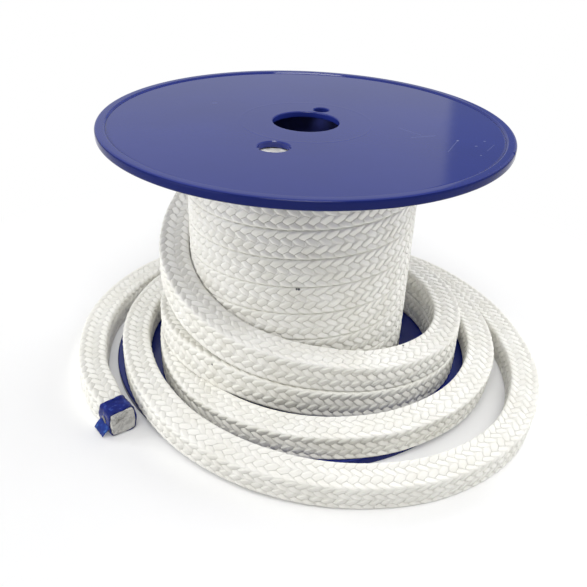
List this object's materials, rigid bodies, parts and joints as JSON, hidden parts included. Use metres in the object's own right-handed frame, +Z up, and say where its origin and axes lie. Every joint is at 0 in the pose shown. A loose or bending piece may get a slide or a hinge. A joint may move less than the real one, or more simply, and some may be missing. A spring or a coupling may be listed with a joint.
{
  "type": "reel of gland packing",
  "caption": "Square braided gland packing on a two-flange plastic spool, with a loose free length lying in coils round its foot and a taped end.",
  "frame": {"origin": "on the spool's axis, at the surface that the lower flange stands on", "axes": "+Z up along the spool's axis; -Y is the side that the picture is taken from"},
  "size_m": [0.309, 0.3068, 0.168],
  "materials": {
    "flange": "satin blue moulded plastic",
    "barrel": "matt blue moulded plastic",
    "packing": "matt off-white braided yarn",
    "tape": "thin glossy blue adhesive tape"
  },
  "bodies": {
    "root": {"lower_flange": "flange", "upper_flange": "flange", "barrel": "barrel", "wound_packing": "packing", "free_packing": "packing", "end_tape": "tape"}
  },
  "joints": []
}
